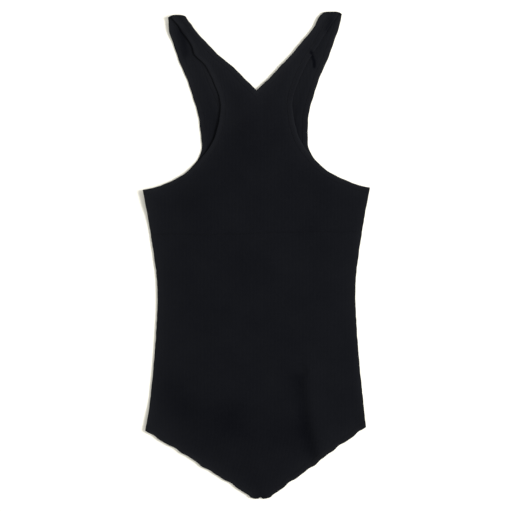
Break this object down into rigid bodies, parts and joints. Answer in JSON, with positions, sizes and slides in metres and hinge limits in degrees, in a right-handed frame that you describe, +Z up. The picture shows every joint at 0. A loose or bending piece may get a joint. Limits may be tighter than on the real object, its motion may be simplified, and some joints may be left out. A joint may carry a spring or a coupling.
{
  "type": "gymnastics leotard",
  "caption": "Sleeveless rib-knit leotard with a V neck, cut-away armholes, bound edges and a pointed crotch, laid flat on its back with its front up.",
  "frame": {"origin": "centre of the garment's outline on the surface that it lies on", "axes": "+X across the garment to the wearer's left, +Y up the body from the crotch to the straps, +Z up from the surface, through the back and then the front"},
  "size_m": [0.342, 0.736, 0.0125],
  "materials": {
    "rib_knit": "matte black fine rib knit",
    "binding_knit": "matte black rib knit, folded double",
    "elastic": "matte black braided elastic",
    "lining_jersey": "matte black single jersey",
    "seam_thread": "black overlock stitching with a slight sheen",
    "label_satin": "blank black satin ribbon"
  },
  "bodies": {
    "root": {"front_panel": "rib_knit", "back_panel": "rib_knit", "front_neck_binding": "binding_knit", "back_neck_binding": "binding_knit", "left_front_armhole_binding": "binding_knit", "left_back_armhole_binding": "binding_knit", "right_front_armhole_binding": "binding_knit", "right_back_armhole_binding": "binding_knit", "left_front_leg_binding": "binding_knit", "left_back_leg_binding": "binding_knit", "right_front_leg_binding": "binding_knit", "right_back_leg_binding": "binding_knit", "front_neck_elastic": "elastic", "back_neck_elastic": "elastic", "left_front_armhole_elastic": "elastic", "left_back_armhole_elastic": "elastic", "right_front_armhole_elastic": "elastic", "right_back_armhole_elastic": "elastic", "left_front_leg_elastic": "elastic", "left_back_leg_elastic": "elastic", "right_front_leg_elastic": "elastic", "right_back_leg_elastic": "elastic", "bust_lining": "lining_jersey", "underbust_elastic": "elastic", "gusset_lining": "lining_jersey", "left_side_seam": "seam_thread", "right_side_seam": "seam_thread", "left_shoulder_seam": "seam_thread", "right_shoulder_seam": "seam_thread", "crotch_seam": "seam_thread", "care_label": "label_satin", "neck_label": "label_satin"}
  },
  "joints": []
}
